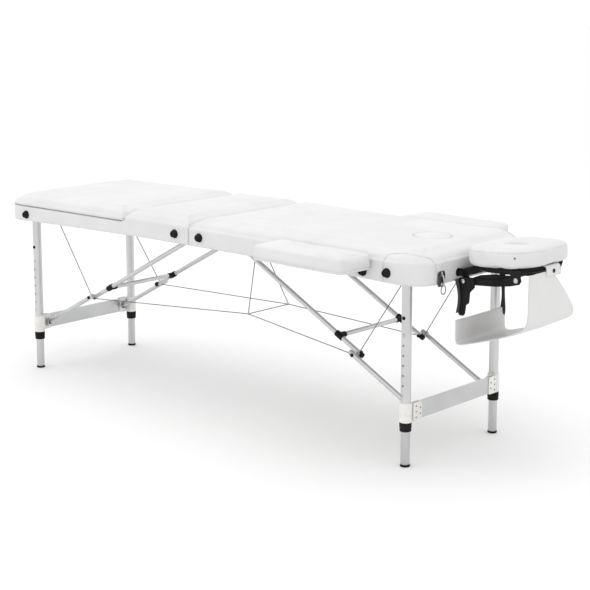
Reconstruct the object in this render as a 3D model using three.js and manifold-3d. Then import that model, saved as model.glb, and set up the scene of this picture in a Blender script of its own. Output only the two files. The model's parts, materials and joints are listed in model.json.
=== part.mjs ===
// Portable two-section treatment bed: folding aluminium legs, lift-up backrest, face cradle and arm sling.
// Units are millimetres, +Z is up. Inside this file X = 0 is the centre hinge and +X is the head end.
import * as THREE from 'three';
import { mergeVertices } from 'three/addons/utils/BufferGeometryUtils.js';
import Module from 'manifold-3d';

const wasm = await Module();
wasm.setup();

// ---- Driving dimensions -------------------------------------------------------------------------
const GAP = 0.35; // clearance between separate pieces
const MIDDLE_X = 132.5; // middle of the whole object, which becomes X = 0

const BED_HALF_LENGTH = 930;
const BED_HALF_WIDTH = 280;
const BED_TOP = 646;
const BED_BOTTOM = 561;
const HEAD_CORNER = 95;
const BACK_CORNER = 60;
const WRAP = 3; // vinyl and foam outside the frame
const RAIL = 20;
const RAIL_TOP = 606;
const DECK_TOP = 612;
const PAD_ROUND = 33;
const HINGE_Z = BED_BOTTOM - 4.5;
const GROOVE_X = -310; // where the backrest hinges
const GROOVE_HALF = 5;
const FACE_HOLE_X = 762;
const FACE_HOLE_RADIUS = 57.5;

const LEG_X = 840;
const LEG_Y = 222;
const LEG_HINGE_Z = 582;
const OUTER_RADIUS = 15;
const OUTER_BORE = 14;
const INNER_RADIUS = 13.5;
const INNER_BORE = 11.5;
const OUTER_BOTTOM = 140;
const ROD_RADIUS = 6;
const HOLE_STEP = 30;
const HOLE_COUNT = 6;
const BUTTON_Z = 395;
const BUTTON_RADIUS = 4.5;
const CLAMP_BOTTOM = 134;
const CLAMP_TOP = 193;
const CLAMP_RADIUS = 19;
const CAP_HEIGHT = 6;

const PANEL_X = 852.5;
const PANEL_THICK = 11;
const PANEL_HEIGHT = 50;
const PANEL_Z = 164;
const BRACE_RADIUS = 7.75;
const UPPER_BRACE_Y = 151;
const LOWER_BRACE_Y = 179;
const BRACE_TOP = { x: 50, z: 587 };
const BRACE_FOOT = { x: 835, z: 163 };
const UPPER_BRACE_LENGTH = 631.6;
const UPPER_OVERHANG = 26;
const LOWER_OVERHANG = 14;
const END_OVERHANG = 6.5;
const CROSS_TUBE_FROM_KNEE = 89;
const CABLE_RADIUS = 1.4;

const ARMREST = { x0: 410, x1: 750, inner: 285, outer: 420, bottom: 588, top: 638 };
const ARM_PEG_X = [455, 690];
const ARM_PEG_Z = 596;

const CRADLE_Y = 100;
const CUSHION = { x: 1067, z: 632, length: 256, width: 290, thick: 54 };
const CUSHION_TILT = 4 * Math.PI / 180;
const SLING_HALF_WIDTH = 126;
const LATCH_Z = 575;

// ---- Colours ------------------------------------------------------------------------------------
const LOOKS = {
  vinyl: [0xf1f0ec, 0.45, 0],
  frame: [0xc9a878, 0.7, 0],
  aluminium: [0xc9ccce, 0.35, 1],
  steel: [0xa9acb0, 0.3, 1],
  offWhite: [0xe6e4dc, 0.5, 0],
  black: [0x17181a, 0.55, 0],
  strap: [0x1d1e20, 0.85, 0],
};

// ---- Helpers ------------------------------------------------------------------------------------
const group = new THREE.Group();
group.name = 'treatment_bed';

// Negative where the triangles face inwards.
function signedVolume(points, triangles) {
  let sum = 0;
  for (let i = 0; i < triangles.length; i += 3) {
    const [a, b, c] = [0, 1, 2].map((k) => new THREE.Vector3().fromArray(points, triangles[i + k] * 3));
    sum += a.dot(b.cross(c));
  }
  return sum;
}

function toSolid(geometry) {
  const plain = geometry.clone();
  plain.deleteAttribute('normal');
  plain.deleteAttribute('uv');
  const merged = mergeVertices(plain, 1e-4);
  const points = merged.attributes.position.array;
  const triangles = Array.from(merged.index.array);
  if (signedVolume(points, triangles) < 0) {
    triangles.reverse();
  }
  return new wasm.Manifold(new wasm.Mesh({
    numProp: 3,
    vertProperties: new Float32Array(points),
    triVerts: new Uint32Array(triangles),
  }));
}

function toGeometry(solid) {
  const mesh = solid.getMesh();
  const points = new Float32Array(mesh.numVert * 3);
  for (let i = 0; i < mesh.numVert; i += 1) {
    for (let k = 0; k < 3; k += 1) {
      points[i * 3 + k] = mesh.vertProperties[i * mesh.numProp + k];
    }
  }
  const geometry = new THREE.BufferGeometry();
  geometry.setAttribute('position', new THREE.BufferAttribute(points, 3));
  geometry.setIndex(new THREE.BufferAttribute(new Uint32Array(mesh.triVerts), 1));
  geometry.computeVertexNormals();
  return geometry;
}

function place(name, look, solid) {
  const [color, roughness, metalness] = LOOKS[look];
  const material = new THREE.MeshStandardMaterial({ color, roughness, metalness });
  material.name = look;
  const mesh = new THREE.Mesh(toGeometry(solid), material);
  mesh.name = name;
  mesh.position.x = -MIDDLE_X;
  group.add(mesh);
}

function box(x0, x1, y0, y1, z0, z1) {
  const geometry = new THREE.BoxGeometry(x1 - x0, y1 - y0, z1 - z0);
  geometry.translate((x0 + x1) / 2, (y0 + y1) / 2, (z0 + z1) / 2);
  return toSolid(geometry);
}

function rod(from, to, radius, sides = 16) {
  const start = new THREE.Vector3(...from);
  const end = new THREE.Vector3(...to);
  const along = end.clone().sub(start);
  const geometry = new THREE.CylinderGeometry(radius, radius, along.length(), sides);
  const up = new THREE.Vector3(0, 1, 0);
  const turn = new THREE.Quaternion().setFromUnitVectors(up, along.clone().normalize());
  geometry.applyQuaternion(turn);
  const middle = start.add(end).multiplyScalar(0.5);
  geometry.translate(middle.x, middle.y, middle.z);
  return toSolid(geometry);
}

function ball(centre, radius) {
  const geometry = new THREE.SphereGeometry(radius, 6, 4);
  geometry.translate(...centre);
  return toSolid(geometry);
}

// A turned shape: profile rows are [radius, height], standing on the line (x, y).
function turned(x, y, profile, sides = 16) {
  const points = profile.map(([r, z]) => new THREE.Vector2(r, z));
  const geometry = new THREE.LatheGeometry(points, sides);
  geometry.rotateX(Math.PI / 2);
  geometry.translate(x, y, 0);
  return toSolid(geometry);
}

function tube(x, y, outer, bore, bottom, top) {
  return turned(x, y, [[bore, bottom], [outer, bottom], [outer, top], [bore, top], [bore, bottom]]);
}

function join(solids) {
  return solids.reduce((sum, next) => sum.add(next));
}

function mirrorX(point) {
  return [-point[0], point[1], point[2]];
}

// Rectangle with its own radius at the low-X and the high-X corners.
function roundedOutline(x0, x1, halfWidth, lowRadius, highRadius) {
  const a = Math.max(lowRadius, 0.5);
  const b = Math.max(highRadius, 0.5);
  const shape = new THREE.Shape();
  shape.moveTo(x0 + a, -halfWidth);
  shape.lineTo(x1 - b, -halfWidth);
  shape.absarc(x1 - b, -halfWidth + b, b, -Math.PI / 2, 0);
  shape.lineTo(x1, halfWidth - b);
  shape.absarc(x1 - b, halfWidth - b, b, 0, Math.PI / 2);
  shape.lineTo(x0 + a, halfWidth);
  shape.absarc(x0 + a, halfWidth - a, a, Math.PI / 2, Math.PI);
  shape.lineTo(x0, -halfWidth + a);
  shape.absarc(x0 + a, -halfWidth + a, a, Math.PI, 1.5 * Math.PI);
  return shape;
}

function slab(shape, bottom, top) {
  const depth = top - bottom;
  const geometry = new THREE.ExtrudeGeometry(shape, { depth, bevelEnabled: false, curveSegments: 6 });
  geometry.translate(0, 0, bottom);
  return toSolid(geometry);
}

// A pad with a round top edge all the way round and a flat underside.
function paddedTop(x0, x1, lowCorner, highCorner) {
  const inset = PAD_ROUND;
  const half = BED_HALF_WIDTH - inset;
  const shape = roundedOutline(x0 + inset, x1 - inset, half, lowCorner - inset, highCorner - inset);
  const geometry = new THREE.ExtrudeGeometry(shape, {
    depth: 1,
    bevelEnabled: true,
    bevelThickness: inset,
    bevelSize: inset,
    bevelSegments: 3,
    curveSegments: 4,
  });
  geometry.translate(0, 0, BED_TOP - inset - 1);
  const underside = box(x0 - 10, x1 + 10, -400, 400, 400, DECK_TOP + GAP);
  return toSolid(geometry).subtract(underside);
}

// A plate cut from a side view: rows are [x, z], spread from y0 to y1.
function sidePlate(rows, y0, y1) {
  const shape = new THREE.Shape(rows.map(([x, z]) => new THREE.Vector2(x, z)));
  const geometry = new THREE.ExtrudeGeometry(shape, { depth: y1 - y0, bevelEnabled: false });
  geometry.rotateX(Math.PI / 2);
  geometry.translate(0, y1, 0);
  return toSolid(geometry);
}

// ---- Bed frames and pads ------------------------------------------------------------------------
const inside = BED_HALF_WIDTH - WRAP - RAIL;
const legEnds = [[1, 'head'], [-1, 'back']];
const sides = [[-1, 'near'], [1, 'far']];

function braceLugs(end) {
  const lugs = [];
  for (const side of [-1, 1]) {
    const y = side * (UPPER_BRACE_Y + BRACE_RADIUS);
    const a = y + side * 2;
    const b = y + side * 6;
    const x = end * BRACE_TOP.x;
    lugs.push(box(x - 9, x + 9, Math.min(a, b), Math.max(a, b), BRACE_TOP.z - 8, RAIL_TOP + 1));
    lugs.push(rod([x, y + side * GAP, BRACE_TOP.z], [x, b, BRACE_TOP.z], 4, 12));
  }
  return lugs;
}

function railRing(x0, x1, lowCorner, highCorner) {
  const half = BED_HALF_WIDTH - WRAP;
  const outer = roundedOutline(x0, x1, half, lowCorner, highCorner);
  const inner = roundedOutline(x0 + RAIL, x1 - RAIL, inside, lowCorner - RAIL, highCorner - RAIL);
  return slab(outer, BED_BOTTOM, RAIL_TOP).subtract(slab(inner, BED_BOTTOM - 5, RAIL_TOP + 5));
}

function headFrame() {
  const end = BED_HALF_LENGTH - WRAP;
  const half = BED_HALF_WIDTH - WRAP;
  let solid = railRing(1, end, 1, HEAD_CORNER - WRAP);
  solid = solid.add(slab(roundedOutline(1, end, half, 1, HEAD_CORNER - WRAP), RAIL_TOP, DECK_TOP));
  solid = join([solid, ...braceLugs(1)]);
  const hole = rod([FACE_HOLE_X, 0, RAIL_TOP - 5], [FACE_HOLE_X, 0, DECK_TOP + 5], FACE_HOLE_RADIUS, 24);
  solid = solid.subtract(hole);
  for (const side of [-1, 1]) {
    const socket = rod([880, side * CRADLE_Y, 573], [940, side * CRADLE_Y, 573], 6.6, 16);
    solid = solid.subtract(socket);
    for (const x of ARM_PEG_X) {
      solid = solid.subtract(rod([x, side * 240, ARM_PEG_Z], [x, side * 290, ARM_PEG_Z], 5.6, 16));
    }
  }
  return solid;
}

function backFrame() {
  const half = BED_HALF_WIDTH - WRAP;
  const deck = slab(roundedOutline(GROOVE_X + GROOVE_HALF, -1, half, 1, 1), RAIL_TOP, DECK_TOP);
  return join([railRing(-BED_HALF_LENGTH + WRAP, -1, BACK_CORNER - WRAP, 1), deck, ...braceLugs(-1)]);
}

function backrestBoard() {
  const x1 = GROOVE_X - GROOVE_HALF;
  const half = BED_HALF_WIDTH - WRAP;
  const board = roundedOutline(-BED_HALF_LENGTH + WRAP, x1, half, BACK_CORNER - WRAP, 1);
  const solids = [slab(board, RAIL_TOP + GAP, DECK_TOP)];
  for (const side of [-1, 1]) {
    const a = side * 239.5;
    const b = side * 243;
    solids.push(box(-649, -631, Math.min(a, b), Math.max(a, b), 591, RAIL_TOP + 2));
  }
  return join(solids);
}

function propArm(side) {
  const a = side * 244;
  const b = side * 250;
  const rows = [
    [-648, 594], [-640, 590], [-352, 592], [-342, 596],
    [-342, 602], [-352, 605], [-642, 605], [-648, 602],
  ];
  return sidePlate(rows, Math.min(a, b), Math.max(a, b));
}

place('head_half_frame', 'frame', headFrame());
place('back_half_frame', 'frame', backFrame());
const faceHole = rod([FACE_HOLE_X, 0, 590], [FACE_HOLE_X, 0, 660], FACE_HOLE_RADIUS, 24);
place('head_half_pad', 'vinyl', paddedTop(1, BED_HALF_LENGTH, PAD_ROUND, HEAD_CORNER).subtract(faceHole));
place('face_hole_plug', 'vinyl', turned(FACE_HOLE_X, 0, [
  [0, 607], [53, 607], [FACE_HOLE_RADIUS - 0.8, 611],
  [FACE_HOLE_RADIUS - 0.8, 641], [52, 645.6], [0, 645.6],
], 24));
place('back_fixed_pad', 'vinyl', paddedTop(GROOVE_X + GROOVE_HALF, -1, PAD_ROUND, PAD_ROUND));
place('backrest_board', 'frame', backrestBoard());
const backrestEnd = GROOVE_X - GROOVE_HALF;
place('backrest_pad', 'vinyl', paddedTop(-BED_HALF_LENGTH, backrestEnd, BACK_CORNER, PAD_ROUND));
for (const [side, label] of sides) {
  place(`backrest_prop_${label}`, 'aluminium', propArm(side));
}

// Centre hinge: a long leaf under each half, with knuckles that take turns along one line.
function centreHinge(end, first) {
  const z = HINGE_Z;
  const leafTop = BED_BOTTOM - GAP;
  const a = Math.min(end * 4.6, end * 34);
  const b = Math.max(end * 4.6, end * 34);
  const solids = [box(a, b, -220, 220, leafTop - 2.5, leafTop)];
  for (let y = first; y < 200; y += 80) {
    solids.push(rod([0, y, z], [0, y + 40 - GAP, z], 4, 14));
    solids.push(box(Math.min(0, end * 6), Math.max(0, end * 6), y, y + 40 - GAP, z + 0.5, leafTop));
  }
  return join(solids);
}

place('centre_hinge_head', 'steel', centreHinge(1, -200));
place('centre_hinge_back', 'steel', centreHinge(-1, -160));

// ---- Legs ---------------------------------------------------------------------------------------
function outerLeg(x, y) {
  let solid = tube(x, y, OUTER_RADIUS, OUTER_BORE, OUTER_BOTTOM, LEG_HINGE_Z + 12);
  solid = solid.subtract(rod([x, y - 30, LEG_HINGE_Z], [x, y + 30, LEG_HINGE_Z], ROD_RADIUS + 0.4, 20));
  for (let i = 0; i <= HOLE_COUNT; i += 1) {
    const z = BUTTON_Z - i * HOLE_STEP;
    solid = solid.subtract(rod([x, y + Math.sign(y) * 30, z], [x, y, z], BUTTON_RADIUS + 0.5, 8));
  }
  return solid;
}

function legClamp(x, y) {
  const rows = [
    [OUTER_RADIUS + GAP, CLAMP_BOTTOM + 2], [CLAMP_RADIUS - 2, CLAMP_BOTTOM],
    [CLAMP_RADIUS, CLAMP_BOTTOM + 4],
    [CLAMP_RADIUS, CLAMP_TOP - 5], [CLAMP_RADIUS - 2, CLAMP_TOP], [OUTER_RADIUS + GAP, CLAMP_TOP],
    [OUTER_RADIUS + GAP, CLAMP_BOTTOM + 2],
  ];
  return turned(x, y, rows);
}

function innerLeg(x, y) {
  const solid = tube(x, y, INNER_RADIUS, INNER_BORE, CAP_HEIGHT + GAP, 470);
  const outside = y + Math.sign(y) * 30;
  return solid.subtract(rod([x, outside, BUTTON_Z], [x, y, BUTTON_Z], BUTTON_RADIUS + 0.5, 8));
}

function footCap(x, y) {
  return turned(x, y, [
    [0, 0], [INNER_RADIUS - 1, 0], [INNER_RADIUS + 1, 1.5], [INNER_RADIUS + 1, CAP_HEIGHT],
    [INNER_BORE - GAP, CAP_HEIGHT], [INNER_BORE - GAP, 30], [0, 30],
  ]);
}

function springButton(x, y) {
  const outward = Math.sign(y);
  const tip = y + outward * (OUTER_RADIUS + 3.5);
  return rod([x, tip, BUTTON_Z], [x, y + outward * 5, BUTTON_Z], BUTTON_RADIUS, 12);
}

function braceTube(from, to, startOverhang, endOverhang, y) {
  const a = new THREE.Vector2(from.x, from.z);
  const b = new THREE.Vector2(to.x, to.z);
  const direction = b.clone().sub(a).normalize();
  const start = a.addScaledVector(direction, -startOverhang);
  const end = b.addScaledVector(direction, endOverhang);
  return rod([start.x, y, start.y], [end.x, y, end.y], BRACE_RADIUS, 14);
}

function onBrace(end, distance) {
  const dx = BRACE_FOOT.x - BRACE_TOP.x;
  const dz = BRACE_FOOT.z - BRACE_TOP.z;
  const share = distance / Math.hypot(dx, dz);
  return { x: end * (BRACE_TOP.x + dx * share), z: BRACE_TOP.z + dz * share };
}

function lowerBrace(end, side) {
  const knee = onBrace(end, UPPER_BRACE_LENGTH);
  const foot = { x: end * BRACE_FOOT.x, z: BRACE_FOOT.z };
  const y = side * LOWER_BRACE_Y;
  const boltEnd = side * (UPPER_BRACE_Y + BRACE_RADIUS + GAP);
  const bolt = rod([knee.x, boltEnd, knee.z], [knee.x, y, knee.z], 3.5, 12);
  return braceTube(foot, knee, END_OVERHANG, LOWER_OVERHANG, y).add(bolt);
}

function crossPanel(end) {
  const x0 = Math.min(end * (PANEL_X - PANEL_THICK / 2), end * (PANEL_X + PANEL_THICK / 2));
  const bottom = PANEL_Z - PANEL_HEIGHT / 2;
  const solids = [box(x0, x0 + PANEL_THICK, -LEG_Y, LEG_Y, bottom, bottom + PANEL_HEIGHT)];
  for (const side of [-1, 1]) {
    const y = side * (LOWER_BRACE_Y + BRACE_RADIUS);
    const a = y + side * 3;
    const b = y + side * 6;
    const footX = end * BRACE_FOOT.x;
    const x1 = end * (BRACE_FOOT.x - 8);
    const x2 = end * (PANEL_X - 2);
    solids.push(box(Math.min(x1, x2), Math.max(x1, x2), Math.min(a, b), Math.max(a, b), 151, 175));
    solids.push(rod([footX, y + side * GAP, BRACE_FOOT.z], [footX, b, BRACE_FOOT.z], 3.5, 12));
  }
  let solid = join(solids);
  for (const side of [-1, 1]) {
    const x = end * LEG_X;
    const y = side * LEG_Y;
    solid = solid.subtract(rod([x, y, 100], [x, y, 220], CLAMP_RADIUS + GAP, 24));
  }
  return solid;
}

for (const [end, endName] of legEnds) {
  const x = end * LEG_X;
  const reach = inside - 2;
  const hingeRod = rod([x, -reach, LEG_HINGE_Z], [x, reach, LEG_HINGE_Z], ROD_RADIUS, 20);
  place(`leg_hinge_rod_${endName}`, 'steel', hingeRod);
  place(`cross_panel_${endName}`, 'aluminium', crossPanel(end));
  const middle = onBrace(end, UPPER_BRACE_LENGTH - CROSS_TUBE_FROM_KNEE);
  const tubeEnd = UPPER_BRACE_Y - BRACE_RADIUS - GAP;
  const crossTube = rod([middle.x, -tubeEnd, middle.z], [middle.x, tubeEnd, middle.z], 7.5, 16);
  place(`brace_cross_tube_${endName}`, 'aluminium', crossTube);
  for (const [side, sideName] of sides) {
    const label = `${endName}_${sideName}`;
    const y = side * LEG_Y;
    place(`outer_leg_${label}`, 'aluminium', outerLeg(x, y));
    place(`leg_clamp_${label}`, 'offWhite', legClamp(x, y));
    place(`inner_leg_${label}`, 'aluminium', innerLeg(x, y));
    place(`foot_cap_${label}`, 'black', footCap(x, y));
    place(`height_button_${label}`, 'steel', springButton(x, y));
    const top = { x: end * BRACE_TOP.x, z: BRACE_TOP.z };
    const knee = onBrace(end, UPPER_BRACE_LENGTH);
    const upper = braceTube(top, knee, END_OVERHANG, UPPER_OVERHANG, side * UPPER_BRACE_Y);
    place(`upper_brace_${label}`, 'aluminium', upper);
    place(`lower_brace_${label}`, 'aluminium', lowerBrace(end, side));
  }
}

// ---- Steel cable net ----------------------------------------------------------------------------
function cableRun(points) {
  const solids = [];
  for (let i = 1; i < points.length; i += 1) {
    solids.push(rod(points[i - 1], points[i], CABLE_RADIUS, 6));
  }
  for (const point of points) {
    solids.push(ball(point, CABLE_RADIUS + 0.4));
  }
  return join(solids);
}

function cableNet() {
  const knee = onBrace(1, UPPER_BRACE_LENGTH);
  const runs = [];
  const knots = [];
  for (const side of [-1, 1]) {
    const anchor = [790, side * 155, BED_BOTTOM - 6];
    const bolt = [knee.x + 3.1, side * 165, knee.z - 6.3];
    const knot = [90, side * 98, 320];
    knots.push(knot);
    const backKnee = mirrorX(bolt);
    runs.push(cableRun([anchor, bolt, knot, backKnee, mirrorX(anchor)]));
    runs.push(cableRun([knot, [45, side * 3, BED_BOTTOM - 6]]));
  }
  runs.push(cableRun(knots));
  runs.push(cableRun([[45, -3, BED_BOTTOM - 6], [45, 3, BED_BOTTOM - 6]]));
  return join(runs);
}

place('steel_cable_net', 'steel', cableNet());

// ---- Armrests -----------------------------------------------------------------------------------
function armrestPad(side) {
  const round = 18;
  const depth = ARMREST.outer - ARMREST.inner - 2 * round;
  const halfLength = (ARMREST.x1 - ARMREST.x0) / 2 - round;
  const shape = roundedOutline(-halfLength, halfLength, depth / 2, 18, 18);
  const geometry = new THREE.ExtrudeGeometry(shape, {
    depth: ARMREST.top - ARMREST.bottom - 2 * round,
    bevelEnabled: true,
    bevelThickness: round,
    bevelSize: round,
    bevelSegments: 2,
    curveSegments: 3,
  });
  const x = (ARMREST.x0 + ARMREST.x1) / 2;
  geometry.translate(x, side * (ARMREST.inner + ARMREST.outer) / 2, ARMREST.bottom + round);
  return toSolid(geometry);
}

function armrestBracket(side) {
  const a = side * (BED_HALF_WIDTH + 0.8);
  const b = side * (ARMREST.inner - GAP);
  const x0 = ARM_PEG_X[0] - 15;
  const x1 = ARM_PEG_X[1] + 15;
  const plate = box(x0, x1, Math.min(a, b), Math.max(a, b), ARM_PEG_Z - 6, ARM_PEG_Z + 8);
  const pegs = ARM_PEG_X.map((x) => rod([x, side * (inside + 1), ARM_PEG_Z], [x, b, ARM_PEG_Z], 5, 16));
  return join([plate, ...pegs]);
}

for (const [side, label] of sides) {
  place(`armrest_pad_${label}`, 'vinyl', armrestPad(side));
  place(`armrest_bracket_${label}`, 'aluminium', armrestBracket(side));
}

// ---- Face cradle and arm sling ------------------------------------------------------------------
function cradlePosts() {
  const solids = [box(942, 950, -92, 92, 562, 584)];
  for (const side of [-1, 1]) {
    const y = side * CRADLE_Y;
    solids.push(rod([852, y, 573], [946, y, 573], 6, 16));
    solids.push(box(936, 950, Math.min(y, side * 90), Math.max(y + 6, side * 90), 562, 584));
    const a = side * 90;
    const b = side * (CRADLE_Y - 4);
    const cheek = [[942, 541], [962, 541], [964, 560], [950, 584], [942, 584]];
    solids.push(sidePlate(cheek, Math.min(a, b), Math.max(a, b)));
  }
  return join(solids);
}

function cradleArms() {
  const rows = [
    [944, 548], [948, 542], [958, 540], [1000, 543], [1060, 548], [1110, 556], [1138, 564], [1144, 574],
    [1142, 584], [1132, 588], [1120, 586], [1080, 572], [1030, 563], [975, 562], [952, 562], [945, 556],
  ];
  const solids = [];
  for (const side of [-1, 1]) {
    const a = side * (CRADLE_Y - 4 + GAP);
    const b = side * (CRADLE_Y + 1);
    solids.push(sidePlate(rows, Math.min(a, b), Math.max(a, b)));
  }
  solids.push(rod([1040, -CRADLE_Y, 555], [1040, CRADLE_Y, 555], 5, 16));
  return join(solids);
}

function tilted(geometry) {
  geometry.rotateY(-CUSHION_TILT);
  geometry.translate(CUSHION.x, 0, CUSHION.z);
  return toSolid(geometry);
}

function ringShape(length, width, corner, holeLength, holeWidth) {
  const shape = roundedOutline(-length / 2, length / 2, width / 2, corner, corner);
  const hole = new THREE.Path();
  hole.absellipse(0, 0, holeLength / 2, holeWidth / 2, 0, 2 * Math.PI);
  shape.holes.push(hole);
  return shape;
}

function cradleRing() {
  const thick = 6;
  const outline = ringShape(212, 220, 100, 130, 110);
  const plate = new THREE.ExtrudeGeometry(outline, { depth: thick, bevelEnabled: false, curveSegments: 5 });
  plate.translate(0, 0, -CUSHION.thick / 2 - thick - GAP);
  const solids = [tilted(plate)];
  for (const side of [-1, 1]) {
    const a = side * (CRADLE_Y + 1 + GAP);
    const b = side * (CRADLE_Y + 6);
    const rows = [
      [1066, 600.5], [1120, 589], [1122, 570], [1142, 570], [1144, 592], [1150, 602], [1150, 606.5],
    ];
    solids.push(sidePlate(rows, Math.min(a, b), Math.max(a, b)));
  }
  return join(solids);
}

function cradleCushion() {
  const round = 16;
  const length = CUSHION.length - 2 * round;
  const width = CUSHION.width - 2 * round;
  const shape = ringShape(length, width, 80, 100 + 2 * round, 84 + 2 * round);
  const geometry = new THREE.ExtrudeGeometry(shape, {
    depth: CUSHION.thick - 2 * round,
    bevelEnabled: true,
    bevelThickness: round,
    bevelSize: round,
    bevelSegments: 2,
    curveSegments: 4,
  });
  geometry.translate(0, 0, -CUSHION.thick / 2 + round);
  return tilted(geometry);
}

function camLever() {
  const a = -(CRADLE_Y + 1 + GAP);
  const rows = [
    [938, 556], [941, 559], [988, 559], [993, 554], [991, 534], [976, 520], [973, 487], [963, 480],
    [959, 453], [954, 448], [942, 448], [938, 454], [937.5, 490],
  ];
  return sidePlate(rows, a - 8, a);
}

function armSling() {
  const rows = [
    [940, 438], [940, 372], [950, 363], [1000, 374], [1100, 408], [1158, 436],
    [1180, 452], [1186, 480], [1180, 592], [1173, 592], [1179, 480], [1174, 457],
    [1154, 443], [1098, 415], [998, 381], [952, 371], [947, 375], [947, 438],
  ];
  return sidePlate(rows, -SLING_HALF_WIDTH, SLING_HALF_WIDTH);
}

function slingStrap(side) {
  const x = 936;
  const y = side * (SLING_HALF_WIDTH - 12);
  return box(x - 2, x, y - 12, y + 12, 400, BED_BOTTOM - 4);
}

place('cradle_posts', 'black', cradlePosts());
place('cradle_arms', 'black', cradleArms());
place('cradle_ring', 'black', cradleRing());
place('cradle_cushion', 'vinyl', cradleCushion());
place('cradle_cam_lever', 'black', camLever());
place('arm_sling', 'vinyl', armSling());
for (const [side, label] of sides) {
  place(`sling_strap_${label}`, 'strap', slingStrap(side));
}

// ---- Case latch on the head end, next to the near corner ----------------------------------------
const latchTurn = 92 * Math.PI / 180;

function onCorner(solidGeometry, outward, z) {
  const radius = HEAD_CORNER + outward;
  const x = BED_HALF_LENGTH - HEAD_CORNER + radius * Math.sin(latchTurn);
  const y = -BED_HALF_WIDTH + HEAD_CORNER - radius * Math.cos(latchTurn);
  solidGeometry.rotateZ(latchTurn);
  solidGeometry.translate(x, y, z);
  return toSolid(solidGeometry);
}

place('case_latch_plate', 'steel', onCorner(new THREE.BoxGeometry(24, 2, 36), 2, LATCH_Z));
const loopShape = new THREE.Shape();
loopShape.absarc(0, 0, 13, 0, 2 * Math.PI);
const loopHole = new THREE.Path();
loopHole.absarc(0, 0, 10, 0, 2 * Math.PI);
loopShape.holes.push(loopHole);
const loopSettings = { depth: 3, bevelEnabled: false, curveSegments: 8 };
const loopGeometry = new THREE.ExtrudeGeometry(loopShape, loopSettings);
loopGeometry.rotateX(Math.PI / 2);
place('case_latch_loop', 'steel', onCorner(loopGeometry, 6.5, LATCH_Z - 27));

export default group;
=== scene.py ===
"""Looks for a portable two-section treatment bed: padded vinyl, aluminium legs, face cradle and arm sling."""
import json
import math

import bmesh
import bpy
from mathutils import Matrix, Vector, noise

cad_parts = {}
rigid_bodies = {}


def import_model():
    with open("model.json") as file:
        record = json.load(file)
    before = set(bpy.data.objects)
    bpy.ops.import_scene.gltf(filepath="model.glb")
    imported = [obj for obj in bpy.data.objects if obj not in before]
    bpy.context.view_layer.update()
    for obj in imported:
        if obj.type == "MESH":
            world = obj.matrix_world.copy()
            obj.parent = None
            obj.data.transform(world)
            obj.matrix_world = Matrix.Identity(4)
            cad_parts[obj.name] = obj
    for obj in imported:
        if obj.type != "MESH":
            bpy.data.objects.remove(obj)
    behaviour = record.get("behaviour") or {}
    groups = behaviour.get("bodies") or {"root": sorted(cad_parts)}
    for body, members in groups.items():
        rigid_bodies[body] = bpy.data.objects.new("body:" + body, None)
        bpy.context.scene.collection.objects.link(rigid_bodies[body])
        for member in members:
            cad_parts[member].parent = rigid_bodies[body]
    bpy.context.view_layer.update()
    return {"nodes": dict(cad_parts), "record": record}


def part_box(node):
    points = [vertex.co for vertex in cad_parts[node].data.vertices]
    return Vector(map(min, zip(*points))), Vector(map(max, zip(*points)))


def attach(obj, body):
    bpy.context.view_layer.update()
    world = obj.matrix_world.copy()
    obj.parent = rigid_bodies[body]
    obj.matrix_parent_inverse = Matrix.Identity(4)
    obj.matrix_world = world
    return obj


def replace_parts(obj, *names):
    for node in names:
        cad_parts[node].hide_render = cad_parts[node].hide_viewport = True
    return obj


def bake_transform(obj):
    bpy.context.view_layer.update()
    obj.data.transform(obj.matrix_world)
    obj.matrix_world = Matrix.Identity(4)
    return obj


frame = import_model()
joints = {joint["name"]: joint for joint in frame["record"]["behaviour"]["joints"]}


def pivot(name):
    return Vector(joints[name]["pos_m"])


MIDDLE = pivot("table_fold").x
ENDS = (("head", 1), ("back", -1))
SIDES = (("near", -1), ("far", 1))

# Places and sizes in the bed's own millimetres
TOP, BOTTOM, SPLIT = 646.0, 560.7, 606.0
HALF = 280.0
BED_END = 930
FIXED_PAD_END, LIFT_PAD_START = -305, -315
FACE_HOLE_X = 762
LEG_X, LEG_Y = 840, 222
LEG_HINGE_Z = 582
BUTTON_Z, HOLE_STEP = 395, 30
CABLE_TOP_Z = 555
CENTRE_RISER_X = 45

# Distances along and across the braces, in metres
KNEE_FROM_TOP = 0.6316
UPPER_BRACE_Y, LOWER_BRACE_Y = 0.151, 0.179
CROSS_TUBE_FROM_KNEE = 0.089

CLOTH_FRAMES = 20


def at(x, y, z):
    """A place in the bed's own millimetres, counted from the centre hinge, as metres in the frame."""
    return Vector((MIDDLE + x / 1000, y / 1000, z / 1000))


# ---- Camera ---------------------------------------------------------------------------------------
camera_data = bpy.data.cameras.new("camera")
camera_data.lens = 93.18
camera_data.shift_y = -0.0932
camera = bpy.data.objects.new("camera", camera_data)
camera.location = (3.3325, -3.6207, 1.4418)
camera.rotation_euler = (math.radians(90 - 10.188), 0, math.radians(41.978))
bpy.context.scene.collection.objects.link(camera)
bpy.context.scene.camera = camera


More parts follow.
